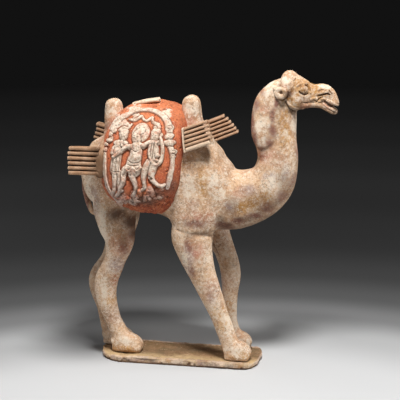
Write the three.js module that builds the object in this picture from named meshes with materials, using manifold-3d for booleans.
// A pack camel that stands on a slab, modelled by hand in clay and fired as one piece.
// Millimetres, +Z up, X towards the head, Y towards the camel's left side.
// The origin is in the slab's underside, about its middle.
import * as THREE from "three";
import { mergeVertices } from "three/addons/utils/BufferGeometryUtils.js";
import Module from "manifold-3d";

const wasm = await Module();
wasm.setup();

// Driving sizes
const slabLength = 238;
const slabRear = -125; // where the slab ends behind the hind feet
const slabWidth = 90;
const slabThickness = 9.5;
const slabBevel = 2.5;
const backHeight = 268; // the middle of the trunk above the ground
const bagTop = 375;
const rodCount = 6;
const rodPitch = { rear: 6.8, nearFront: 5.6, farFront: 6.2 };
const rodDepth = 13; // from the outer side of a rod to its inner side
const bundleOut = 62; // from the middle plane to the middle of a bundle of rods
const bagPower = 3.8; // above 2, a section is boxier than an ellipse
const reliefHeight = 3;
const sunk = 1; // how far the middle of a stroke of the relief lies below the bag's surface

const TAU = Math.PI * 2;
const side = { near: -1, far: 1 }; // the camel's right side is the near one

// A closed mesh as a solid that can be joined and cut.
function solidOf(geometry) {
  const bare = geometry.clone();
  for (const name of Object.keys(bare.attributes)) if (name !== "position") bare.deleteAttribute(name);
  const merged = mergeVertices(bare, 1e-3);
  const mesh = new wasm.Mesh({
    numProp: 3,
    vertProperties: merged.attributes.position.array,
    triVerts: new Uint32Array(merged.index.array),
  });
  return new wasm.Manifold(mesh);
}

function geometryOf(solid) {
  const mesh = solid.getMesh();
  const geometry = new THREE.BufferGeometry();
  geometry.setAttribute("position", new THREE.BufferAttribute(new Float32Array(mesh.vertProperties), 3));
  geometry.setIndex(new THREE.BufferAttribute(new Uint32Array(mesh.triVerts), 1));
  geometry.computeVertexNormals();
  return geometry;
}

const joinAll = (solids) => solids.reduce((whole, solid) => whole.add(solid));

// A point on a superellipse with half axes a and b: power 2 is an ellipse, more is boxier.
function superPoint(angle, a, b, power) {
  const round = (v) => Math.sign(v) * Math.abs(v) ** (2 / power);
  return [a * round(Math.cos(angle)), b * round(Math.sin(angle))];
}

// A closed skin through rings of points, each ring as long as the others, with a pole at both ends.
function skin(rings, firstPole, lastPole) {
  const sides = rings[0].length;
  const points = [firstPole, ...rings.flat(), lastPole];
  const last = points.length - 1;
  const faces = [];
  const at = (ring, k) => 1 + ring * sides + (k % sides);
  for (let k = 0; k < sides; k++) {
    faces.push(0, at(0, k + 1), at(0, k));
    faces.push(last, at(rings.length - 1, k), at(rings.length - 1, k + 1));
    for (let ring = 0; ring + 1 < rings.length; ring++) {
      faces.push(at(ring, k), at(ring, k + 1), at(ring + 1, k));
      faces.push(at(ring, k + 1), at(ring + 1, k + 1), at(ring + 1, k));
    }
  }
  const geometry = new THREE.BufferGeometry();
  geometry.setAttribute("position", new THREE.Float32BufferAttribute(points.flatMap((p) => p.toArray()), 3));
  geometry.setIndex(faces);
  return geometry;
}

// A limb of clay: sections along a smooth line, closed by round ends.
// A station is { at: [x, y, z], across, deep, power }: half sizes across (near Y) and in the line's own
// plane, and how boxy its section is. Without a power it takes the limb's.
// A section of its own is a ring of [across, deep] points for half sizes of 1.
function limb(stations, options = {}) {
  const { sides = 10, steps = 1, cap = 0.6, firstRings = 1, lastRings = 1, power = 2, turn = 0 } = options;
  const { acrossAxis = [0, 1, 0], section = null } = options;
  const around = section ? section.length : sides;
  const middles = stations.map((s) => new THREE.Vector3(...s.at));
  const line = new THREE.CatmullRomCurve3(middles, false, "centripetal");
  const halves = new THREE.CatmullRomCurve3(
    stations.map((s) => new THREE.Vector3(s.across, s.deep, 20 * (s.power ?? power))), false, "centripetal");
  const hint = new THREE.Vector3(...acrossAxis);
  const ringAt = (t, shrink, push) => {
    const tangent = line.getTangent(t);
    const across = hint.clone().addScaledVector(tangent, -hint.dot(tangent)).normalize();
    const deep = new THREE.Vector3().crossVectors(tangent, across);
    const half = halves.getPoint(t);
    const centre = line.getPoint(t).addScaledVector(tangent, push);
    return Array.from({ length: around }, (_, k) => {
      const [a, b] = section
        ? [section[k][0] * half.x * shrink, section[k][1] * half.y * shrink]
        : superPoint(((k + turn) / sides) * TAU, half.x * shrink, half.y * shrink, half.z / 20);
      return centre.clone().addScaledVector(across, a).addScaledVector(deep, b);
    });
  };
  const count = (stations.length - 1) * steps;
  const endReach = (s) => cap * Math.min(s.across, s.deep);
  const firstReach = endReach(stations[0]);
  const lastReach = endReach(stations[stations.length - 1]);
  const rings = [];
  for (let k = firstRings; k > 0; k--) {
    const a = ((k / (firstRings + 1)) * Math.PI) / 2;
    rings.push(ringAt(0, Math.cos(a), -firstReach * Math.sin(a)));
  }
  for (let i = 0; i <= count; i++) rings.push(ringAt(i / count, 1, 0));
  for (let k = 1; k <= lastRings; k++) {
    const a = ((k / (lastRings + 1)) * Math.PI) / 2;
    rings.push(ringAt(1, Math.cos(a), lastReach * Math.sin(a)));
  }
  const firstPole = line.getPoint(0).addScaledVector(line.getTangent(0), -firstReach);
  const lastPole = line.getPoint(1).addScaledVector(line.getTangent(1), lastReach);
  return solidOf(skin(rings, firstPole, lastPole));
}

function ellipsoid(centre, radii, { turnY = 0, turnZ = 0, around = 8, rows = 5 } = {}) {
  const ball = new THREE.SphereGeometry(1, around, rows);
  const place = new THREE.Matrix4().compose(
    new THREE.Vector3(...centre),
    new THREE.Quaternion().setFromEuler(new THREE.Euler(0, turnY, turnZ, "ZYX")),
    new THREE.Vector3(...radii));
  return solidOf(ball.applyMatrix4(place));
}

// One station of a limb, with its numbers in reading order.
const station = (x, y, z, across, deep, power) => ({ at: [x, y, z], across, deep, power });

// The slab: a rounded rectangle with soft edges. Its corners differ, as cut by hand.
function slab() {
  const x0 = slabRear + slabBevel;
  const x1 = slabRear + slabLength - slabBevel;
  const y1 = slabWidth / 2 - slabBevel;
  const y0 = -y1;
  // How far each corner is cut, along X and along Y.
  const corner = { rearNear: [38, 46], frontNear: [20, 26], frontFar: [12, 22], rearFar: [26, 22] };
  const outline = new THREE.Shape();
  outline.moveTo(x0 + corner.rearNear[0], y0);
  outline.lineTo(x1 - corner.frontNear[0], y0);
  outline.quadraticCurveTo(x1 - 4, y0 + 1, x1, y0 + corner.frontNear[1]);
  outline.lineTo(x1, y1 - corner.frontFar[1]);
  outline.quadraticCurveTo(x1 - 2, y1 - 3, x1 - corner.frontFar[0], y1);
  outline.lineTo(x0 + corner.rearFar[0], y1);
  outline.quadraticCurveTo(x0 + 3, y1 - 2, x0, y1 - corner.rearFar[1]);
  outline.lineTo(x0 + 1, y0 + corner.rearNear[1]);
  outline.quadraticCurveTo(x0 + 9, y0 + 8, x0 + corner.rearNear[0], y0);
  const geometry = new THREE.ExtrudeGeometry(outline, {
    depth: slabThickness - 2 * slabBevel,
    bevelSize: slabBevel,
    bevelThickness: slabBevel,
    bevelSegments: 1,
    curveSegments: 3,
  });
  return solidOf(geometry.translate(0, 0, slabBevel));
}

// Rump, barrel, shoulders and the neck up to the head, as one line of clay.
function trunk() {
  const b = backHeight;
  return limb([
    station(-133, 0, b - 8, 29, 38, 2.4),
    station(-118, 0, b - 5, 40, 51, 2.8),
    station(-90, 0, b + 1, 45.5, 58, 3),
    station(-40, 0, b + 3, 48, 57, 2.6),
    station(6, 0, b - 3, 47.5, 63, 3),
    station(35, 0, b - 20, 44, 54, 2.8),
    station(68, 0, b - 32, 37, 44, 2.4),
    station(103, 0, b - 25, 30, 38, 2.2),
    station(127, 0, b - 6, 27, 33),
    station(136, 0, b + 26, 24.5, 28),
    station(133, 0, b + 55, 22.5, 28.5),
    station(133, 0, b + 88, 21, 28.5),
    station(137, 0, b + 112, 19, 24),
    station(143, 0, b + 124, 17, 18),
  ], { sides: 16, steps: 2, cap: 0.45, power: 2.1, lastRings: 0 });
}

function humps() {
  const rear = limb([
    station(-96, 0, 305, 18, 19),
    station(-97, 0, 332, 14.5, 14.5),
    station(-98.5, 0, 350, 12.5, 12.5),
    station(-99.5, 0, 363, 10.5, 10.5),
  ], { sides: 10, cap: 1, firstRings: 0, lastRings: 2 });
  const front = limb([
    station(28, 0, 288, 30, 32),
    station(20, 0, 320, 20, 21),
    station(14.5, 0, 345, 13.5, 13.5),
    station(13, 0, 369, 11.5, 11.5),
  ], { sides: 10, cap: 1, firstRings: 0, lastRings: 2 });
  return [rear, front];
}

// A leg runs from inside the body down to the ankle, and its foot is a flat-soled pad on the slab.
const footShapes = { // share of the foot's length from the heel, height, width as a share
  hind: [[0.1, 20, 0.7], [0.3, 29, 0.88], [0.55, 27.5, 0.94], [0.78, 22, 0.9], [0.93, 14, 0.74]],
  front: [[0.12, 22, 0.78], [0.3, 29, 0.92], [0.55, 28, 0.98], [0.78, 23, 0.94], [0.93, 15, 0.78]],
  sole: [[0.07, 8, 0.7], [0.3, 12, 0.96], [0.6, 13.5, 1.07], [0.84, 12, 1], [0.96, 9, 0.82]],
};

function leg(stations, foot) {
  const shank = limb(stations, { cap: 0.5, firstRings: 0 });
  const sole = slabThickness;
  const along = foot.toe - foot.heel;
  const part = (share, height, across) => {
    const half = (height + 1) / 2;
    return station(foot.heel + share * along, foot.y, sole - 1 + half, across * foot.wide, half);
  };
  const pad = limb(footShapes[foot.shape].map((numbers) => part(...numbers)), { power: 2.3, cap: 0.4 });
  const rim = limb(footShapes.sole.map((numbers) => part(...numbers)), { power: 3, cap: 0.3 });
  return shank.add(pad).add(rim);
}

function legs() {
  const nearHind = leg([
    station(-92, -13, 264, 18, 23),
    station(-97, -23.5, 226, 18, 34.5),
    station(-91, -27, 198, 18, 30),
    station(-86, -27, 174, 17, 21.5),
    station(-95, -24, 142, 14.5, 15),
    station(-108, -20, 114, 13.5, 17),
    station(-109, -18, 88, 12, 15),
    station(-99, -15, 54, 11, 11.5),
    station(-89, -14, 32, 12, 13),
  ], { heel: -102, toe: -57, y: -14.5, wide: 14.5, shape: "hind" });
  const farHind = leg([
    station(-92, 13, 264, 18, 23),
    station(-99, 23.5, 226, 18, 33),
    station(-99, 27, 198, 18, 28),
    station(-102, 27, 168, 17, 19.5),
    station(-113, 25, 137, 14.5, 14.5),
    station(-131, 23, 104, 13, 16),
    station(-122, 20, 64, 11, 12),
    station(-116, 20, 34, 11.5, 11.5),
  ], { heel: -125, toe: -80, y: 20, wide: 14.5, shape: "hind" });
  const nearFront = leg([
    station(20, -26, 215, 18, 26),
    station(20, -29, 186, 17, 30),
    station(24, -29, 164, 16.5, 25.5),
    station(35, -27.5, 131, 14.5, 19),
    station(49, -26, 97, 13, 15.5),
    station(61, -25, 67, 12, 12.8),
    station(71, -24.5, 40, 12.2, 12.8),
    station(77, -24.5, 24, 12.6, 13),
  ], { heel: 65, toe: 102, y: -24.5, wide: 14.2, shape: "front" });
  const farFront = leg([
    station(38, 24, 222, 18, 24),
    station(43, 27, 185, 17, 19.5),
    station(57, 26, 153, 14.5, 15),
    station(65, 26, 124, 13.5, 14.5),
    station(64, 26, 90, 12, 11.5),
    station(65, 26, 50, 11, 10),
    station(70, 26, 32, 11.5, 11),
  ], { heel: 56, toe: 94.5, y: 26, wide: 14, shape: "front" });
  return [nearHind, farHind, nearFront, farFront];
}

// The shoulders bulge over the front legs, which leaves a crease below them.
function shoulders() {
  return [side.near, side.far].map((s) => limb([
    station(16, s * 15, 284, 20, 22),
    station(20, s * 22.5, 248, 22.5, 35),
    station(25, s * 25, 216, 22.5, 38),
    station(28, s * 25.5, 198, 19.5, 32),
  ], { sides: 12, cap: 0.55, power: 2.2, firstRings: 0 }));
}

function tail() {
  return limb([
    station(-138, 0, 270, 6, 5),
    station(-143, 0, 250, 6, 5.5),
    station(-139.5, 0, 230, 6, 5.5),
    station(-134, 0, 213, 6.5, 6),
    station(-129, 0, 203.5, 6, 5),
  ], { sides: 6, cap: 0.8 });
}

// The mane lies over the back of the neck and ends in a round lobe on each side.
function mane() {
  return limb([
    station(146, 0, 399, 16, 13),
    station(134, 0, 388, 20.5, 18),
    station(123.5, 0, 371, 23, 19),
    station(120, 0, 349, 24.5, 19),
    station(117.5, 0, 331, 25, 15.5),
    station(117, 0, 317, 24, 9),
  ], { sides: 12, cap: 0.5, power: 3.2 });
}

function head() {
  // low and high are the heights of the jaw and the brow at x.
  const slice = (x, low, high, across) => station(x, 0, (low + high) / 2, across, (high - low) / 2);
  const skull = limb([
    slice(139, 372, 404, 16),
    slice(148, 364, 412, 18),
    slice(158, 361.5, 414, 18),
    slice(168, 364.5, 408.5, 15.5),
    slice(179, 369, 401, 12.2),
    slice(190, 371.5, 401, 11),
    slice(198, 371, 402, 11.2),
    slice(205, 367, 396, 10.4),
    slice(211, 364, 386, 8.8),
    slice(216, 363, 377, 6.5),
  ], { sides: 12, cap: 0.4, power: 2.4 });
  const tuft = ellipsoid([151, 0, 404], [13.5, 15, 15.5], { turnY: -0.3, around: 10, rows: 5 });
  const both = (make) => [make(side.near), make(side.far)];
  const eyes = both((s) => ellipsoid([175, s * 11.6, 392.5], [7.2, 3.6, 5], { turnY: -0.2 }));
  const brows = both((s) => ellipsoid([171, s * 10.6, 398.5], [9, 4, 3.6], { turnY: 0.6 }));
  const nostrilRims = both((s) => ellipsoid([203, s * 8.8, 388.5], [6.5, 3, 3.2], { turnY: 0.3 }));
  const upperLips = both((s) => ellipsoid([209, s * 5, 377.5], [11, 5.2, 5], { turnY: 0.45 }));
  const lowerLip = ellipsoid([211, 0, 365], [9.5, 6.5, 4], { turnY: 0.5 });
  const ears = both((s) => ellipsoid([145, s * 20, 390.5], [9, 4.2, 6.8], { turnY: -0.35, turnZ: s * 0.3 }));
  const earHoles = both((s) => ellipsoid([147, s * 24, 391.5], [3.6, 2.6, 2.6], { around: 6, rows: 4 }));
  const mouth = limb([
    station(195, 0, 379.5, 16, 0.7),
    station(205, 0, 375, 16, 1.2),
    station(215, 0, 371.2, 16, 1.7),
    station(230, 0, 367, 16, 2.4),
  ], { sides: 6, cap: 0.5, power: 3 });
  const parts = [skull, tuft, ...eyes, ...brows, ...nostrilRims, ...upperLips, lowerLip, ...ears];
  return [mouth, ...earHoles].reduce((whole, hollow) => whole.subtract(hollow), joinAll(parts));
}

// The saddle bag: level sections from its foot to its crown, an egg that is boxy in plan.
const bagLevels = [
  // z, middle x, half length, half width
  [219, -36, 16, 44],
  [224, -38, 26, 58],
  [231, -42, 37, 69],
  [243, -48.5, 48.5, 77],
  [260, -49.5, 56.5, 81.5],
  [283, -48, 58.5, 82],
  [308, -46.5, 59, 79],
  [328, -45, 57.5, 71],
  [345, -43, 52, 59],
  [355, -42, 47, 50],
  [362, -41, 40, 41],
  [368, -41, 30, 30],
  [373, -42, 15, 15],
];

// The bag's middle, half length and half width at height z.
function bagSection(z) {
  const last = bagLevels.length - 1;
  const clamped = Math.min(Math.max(z, bagLevels[0][0]), bagLevels[last][0] - 0.01);
  const i = bagLevels.findIndex((level, k) => k < last && clamped < bagLevels[k + 1][0]);
  const pick = (k) => bagLevels[Math.min(Math.max(k, 0), last)];
  const t = (clamped - pick(i)[0]) / (pick(i + 1)[0] - pick(i)[0]);
  return [1, 2, 3].map((column) => {
    const [p0, p1, p2, p3] = [i - 1, i, i + 1, i + 2].map((k) => pick(k)[column]);
    return p1 + 0.5 * t * (p2 - p0 + t * (2 * p0 - 5 * p1 + 4 * p2 - p3 + t * (3 * (p1 - p2) + p3 - p0)));
  });
}

function saddleBag() {
  const sides = 20;
  const levels = [219, 224, 231, 243, 260, 283, 306, 325, 341, 353, 361.5, 368, 372.5];
  const rings = levels.map((z) => {
    const [x, long, wide] = bagSection(z);
    return Array.from({ length: sides }, (_, k) => {
      const [a, b] = superPoint((k / sides) * TAU, long, wide, bagPower);
      return new THREE.Vector3(x + a, b, z);
    });
  });
  const foot = new THREE.Vector3(-36, 0, bagLevels[0][0] - 3);
  const crown = new THREE.Vector3(-43, 0, bagTop);
  return solidOf(skin(rings, foot, crown));
}

// The point of the bag's side at (x, z), on the near or the far side.
function onBag(x, z, s) {
  const [middle, long, wide] = bagSection(z);
  const share = Math.min(Math.abs((x - middle) / long), 0.999);
  return new THREE.Vector3(x, s * wide * (1 - share ** bagPower) ** (1 / bagPower), z);
}

// Sections of the relief: one rounded, for limbs, and one flat on top, for bands. Both end in a keel.
const rounded = [[1, 0.4], [-0.35, 1], [-1, 0], [-0.35, -1], [1, -0.4]];
const flat = [[1, 0.62], [-0.3, 1], [-0.3, -1], [1, -0.62]];

// A raised stroke on the bag through points [x, z, half width].
function stroke(points, s, { height = reliefHeight, section = rounded } = {}) {
  const [x, z] = points[Math.floor(points.length / 2)];
  const here = onBag(x, z, s);
  const normal = onBag(x + 2, z, s).sub(here).cross(onBag(x, z + 2, s).sub(here)).normalize();
  if (normal.y * s < 0) normal.negate();
  const stations = points.map((p) => {
    const at = onBag(p[0], p[1], s).addScaledVector(normal, -sunk);
    return { at: at.toArray(), across: height + sunk, deep: p[2] };
  });
  const acrossAxis = normal.toArray();
  return limb(stations, { section, cap: 0.9, firstRings: 0, lastRings: 0, acrossAxis });
}

const knob = ([x, z], half, s, height = reliefHeight * 1.4) => {
  const at = onBag(x, z, s);
  return ellipsoid(at.toArray(), [half, height, half * 1.15], { around: 6, rows: 4 });
};

// A figure in relief: arms and legs are lines of [x, z] from the body to the hand or foot.
function figure({ head, headHalf, neck, hip, hem, half, arms, legs, thick }, s) {
  const middle = [(neck[0] + hip[0]) / 2, (neck[1] + hip[1]) / 2];
  const taper = (line, wide) => line.map(([x, z], i) => [x, z, wide * (1 - (0.3 * i) / (line.length - 1))]);
  const torso = [[...neck, half * 0.8], [...middle, half], [...hip, half * 0.85]];
  const kilt = [[...hip, half * 0.8], [...hem, half * 1.2]];
  return [
    stroke(torso, s, { height: reliefHeight + 0.8 }),
    stroke(kilt, s, { height: reliefHeight + 0.4 }),
    ...arms.map((line) => stroke(taper(line, thick), s)),
    ...legs.map((line) => stroke(taper(line, thick * 1.15), s)),
    knob(head, headHalf, s),
  ];
}

// Under an arch on two posts, two attendants hold up a stout figure who leans back between them.
function nearRelief() {
  const s = side.near;
  const band = (line) => stroke(line, s, { section: flat });
  const frame = [
    band([
      [-91, 336, 4], [-80, 350, 4], [-64, 360, 3.2], [-45, 363.5, 2.8],
      [-27, 360, 3], [-13, 352, 4.2], [-6, 340, 5],
    ]),
    band([
      [-90, 338, 4.6], [-88, 325, 4.4], [-94, 309, 2.8],
      [-94, 284, 2.6], [-88, 256, 2.6], [-73, 236, 2.4],
    ]),
    band([[-5, 336, 4.5], [0, 316, 5.2], [2, 306, 4.6], [1, 296, 3], [-1, 283, 3.6], [-6, 261, 2]]),
    band([[-60, 349, 2.2], [-47, 355, 2.4], [-38, 350.5, 2.4], [-30, 353, 2.4], [-20, 341, 2.2]]),
    band([[-72, 245, 3], [-46, 247, 4], [-26, 254, 4], [-8, 259, 2.6]]),
  ];
  const stout = figure({
    head: [-46, 331], headHalf: 8, neck: [-43, 322], hip: [-48, 299], hem: [-51, 286],
    half: 9, thick: 3.6,
    arms: [[[-50, 322], [-61, 315], [-71, 307]], [[-38, 322], [-30, 321], [-24, 325]]],
    legs: [
      [[-56, 291], [-64, 284], [-65, 273], [-72, 252]],
      [[-46, 290], [-52, 282], [-47, 268], [-49, 250]],
    ],
  }, s);
  const helper = figure({
    head: [-66, 330], headHalf: 5.2, neck: [-70, 320], hip: [-73, 296], hem: [-76, 279],
    half: 5.8, thick: 2.8,
    arms: [[[-71, 317], [-80, 311], [-70, 305]]],
    legs: [[[-79, 280], [-78, 264], [-79, 248]], [[-71, 280], [-70, 264], [-67, 246]]],
  }, s);
  const bearer = figure({
    head: [-24, 331], headHalf: 6, neck: [-27, 321], hip: [-25, 298], hem: [-25, 290],
    half: 5.4, thick: 3.2,
    arms: [[[-20, 325], [-13, 318], [-11, 303], [-20, 295]]],
    legs: [[[-28, 294], [-35, 276], [-32, 259]], [[-22, 292], [-25, 279], [-21, 268], [-9, 262]]],
  }, s);
  return [...frame, knob([-39, 339], 8.5, s), ...stout, ...helper, ...bearer, knob([-18, 308], 3.4, s)];
}

// The far side has the same arch, and one standing figure with its arms spread.
function farRelief() {
  const s = side.far;
  const band = (line) => stroke(line, s, { section: flat });
  return [
    band([[-89, 330, 4], [-68, 356, 3.4], [-43, 363, 3], [-19, 356, 3.4], [1, 330, 4]]),
    band([[-91, 326, 3.6], [-93, 290, 2.8], [-82, 246, 2.4]]),
    band([[3, 326, 3.6], [4, 290, 2.8], [-5, 246, 2.4]]),
    ...figure({
      head: [-44, 332], headHalf: 7.5, neck: [-44, 322], hip: [-44, 296], hem: [-44, 282],
      half: 8.5, thick: 3.6,
      arms: [[[-50, 320], [-62, 312], [-74, 318]], [[-38, 320], [-26, 312], [-14, 318]]],
      legs: [[[-48, 286], [-53, 268], [-52, 250]], [[-40, 286], [-35, 268], [-36, 250]]],
    }, s),
  ];
}

// The ends of the pack boards: flat rods stacked edge on edge, each with a round end.
function bundle({ from, to, drop, pitch, upright = false }, s) {
  const start = new THREE.Vector3(...from);
  const end = new THREE.Vector3(...to);
  const tilt = Math.atan2(end.z - start.z, Math.abs(end.x - start.x));
  const ahead = Math.sign(end.x - start.x);
  // The stack runs down and, because it lies on the camel's flank, outwards. It is square to the
  // rods, or its ends stand upright.
  const lean = upright ? 0 : tilt;
  const spacing = pitch * Math.cos(lean) / Math.cos(tilt);
  const down = new THREE.Vector3(
    ahead * Math.sin(lean), s * Math.sin(drop), -Math.cos(lean) * Math.cos(drop)).normalize();
  const inward = new THREE.Vector3(0, -s * Math.cos(drop), -Math.sin(drop));
  const form = { sides: 6, cap: 0.5, firstRings: 0, lastRings: 0, power: 2.6, acrossAxis: inward.toArray() };
  const rods = [];
  for (let i = 0; i < rodCount; i++) {
    const offset = down.clone().multiplyScalar((i - (rodCount - 1) / 2) * spacing);
    const ends = [start, end].map((p) => p.clone().add(offset));
    const stations = ends.map((p) => ({ at: p.toArray(), across: rodDepth / 2, deep: pitch * 0.54 }));
    rods.push(limb(stations, form));
  }
  return joinAll(rods);
}

function packBoards() {
  const out = bundleOut;
  const { rear, nearFront, farFront } = rodPitch;
  return [
    bundle({ from: [-100, -out - 4, 294], to: [-146, -out - 4, 294], drop: 0.05, pitch: rear }, side.near),
    bundle({ from: [-92, out, 300], to: [-139, out + 2, 312], drop: 0.1, pitch: rear }, side.far),
    bundle({
      from: [5, -out + 14, 319], to: [46.5, -out + 14, 336], drop: 0.06, pitch: nearFront, upright: true,
    }, side.near),
    bundle({ from: [-8, out - 4, 307], to: [56, out, 332], drop: 0.1, pitch: farFront }, side.far),
  ];
}

// A pad comes out from under the bag, lies over the rump and ends against the boards.
function packPads() {
  return [side.near, side.far].map((s) => limb([
    station(-100, s * 14, 329, 9, 7),
    station(-101, s * 54, 307, 10, 7),
    station(-101, s * 60, 290, 9.5, 6.5),
    station(-101, s * 58, 276, 8, 6),
  ], { sides: 8, cap: 0.7, power: 3, firstRings: 0, acrossAxis: [1, 0, 0] }));
}

// A broken strip of clay is left on the bag's crown.
const crownStrip = () => limb([
  station(-64, -4, 369.5, 8, 2.6),
  station(-48, -3, 374.8, 9, 2.6),
  station(-31, -3, 376.6, 7, 2.4),
], { sides: 8, cap: 0.5, power: 2.6 });

const clay = new THREE.MeshStandardMaterial({
  name: "fired_clay", color: 0xc9a585, roughness: 0.92, metalness: 0,
});

function camel() {
  const body = joinAll([slab(), trunk(), ...humps(), ...shoulders(), ...legs(), tail(), mane(), head()]);
  const relief = [...nearRelief(), ...farRelief()];
  const load = joinAll([saddleBag(), ...relief, ...packPads(), ...packBoards(), crownStrip()]);
  const mesh = new THREE.Mesh(geometryOf(body.add(load)), clay);
  mesh.name = "camel";
  return mesh;
}

const sculpture = new THREE.Group();
sculpture.name = "pack_camel_sculpture";
sculpture.add(camel());

export default sculpture;
